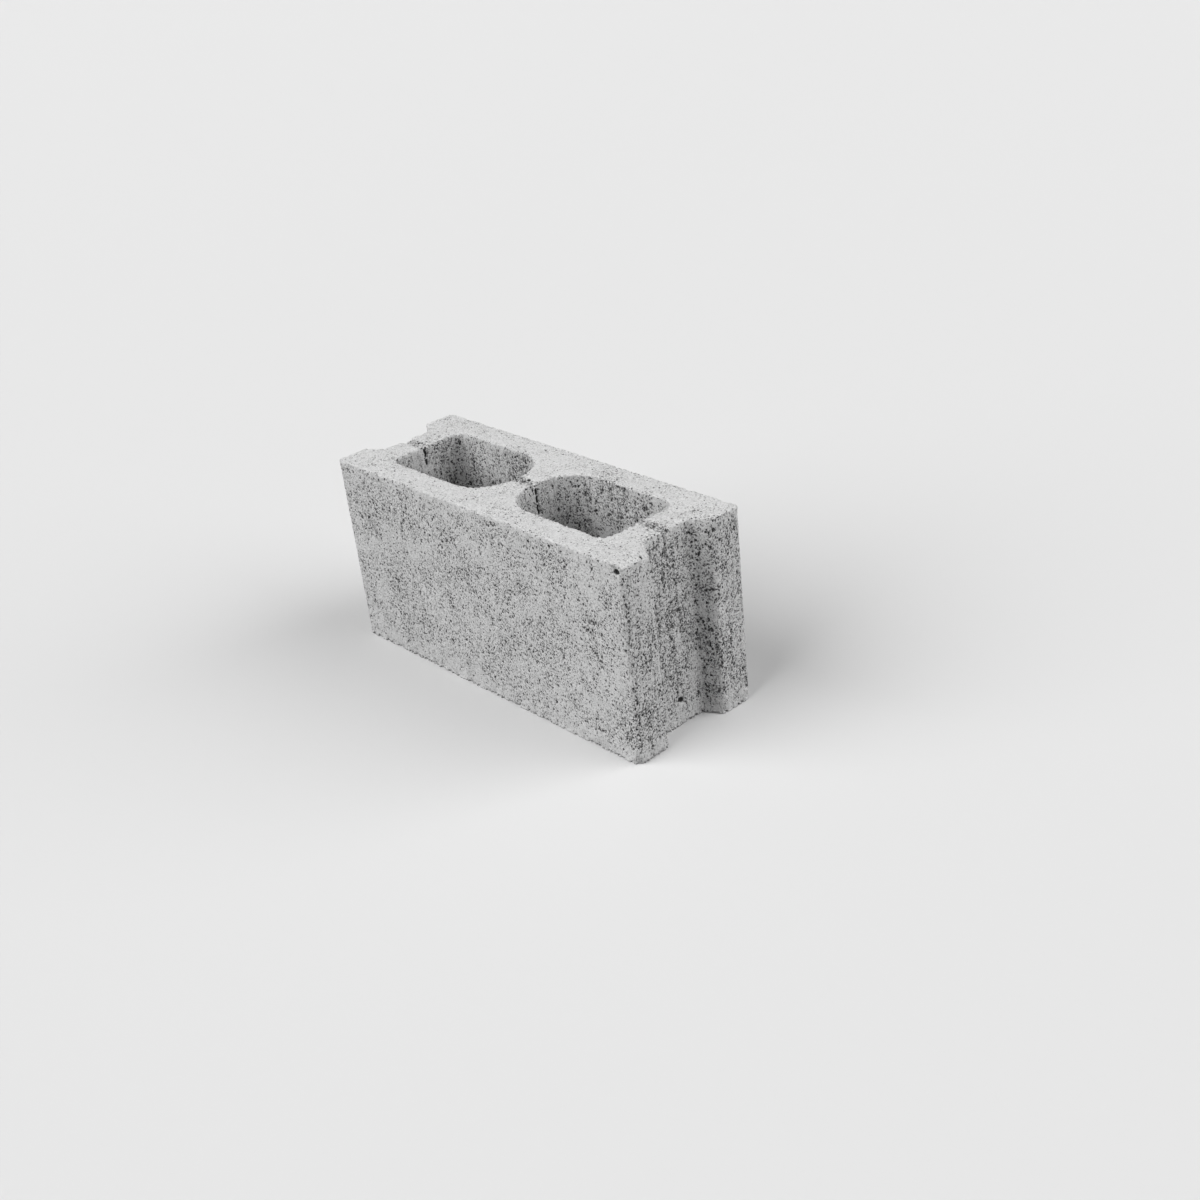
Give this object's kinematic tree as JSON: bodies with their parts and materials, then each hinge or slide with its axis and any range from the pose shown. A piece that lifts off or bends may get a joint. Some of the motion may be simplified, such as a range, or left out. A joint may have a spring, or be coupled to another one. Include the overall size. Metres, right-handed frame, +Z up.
{
  "type": "hollow concrete block",
  "caption": "Hollow rectangular concrete masonry block with two tapered through cores and a tapered mortar key groove down each end, for laying in walls.",
  "frame": {"origin": "centre of the underside, on the floor that the block stands on", "axes": "+X along the block's length, +Y through the wall thickness, +Z up from the pallet face to the pressed face"},
  "size_m": [0.39, 0.14, 0.19],
  "materials": {
    "concrete": "open-textured pressed grey concrete with fine dark voids, unglazed and matt"
  },
  "bodies": {
    "root": {"concrete_block": "concrete"}
  },
  "joints": []
}
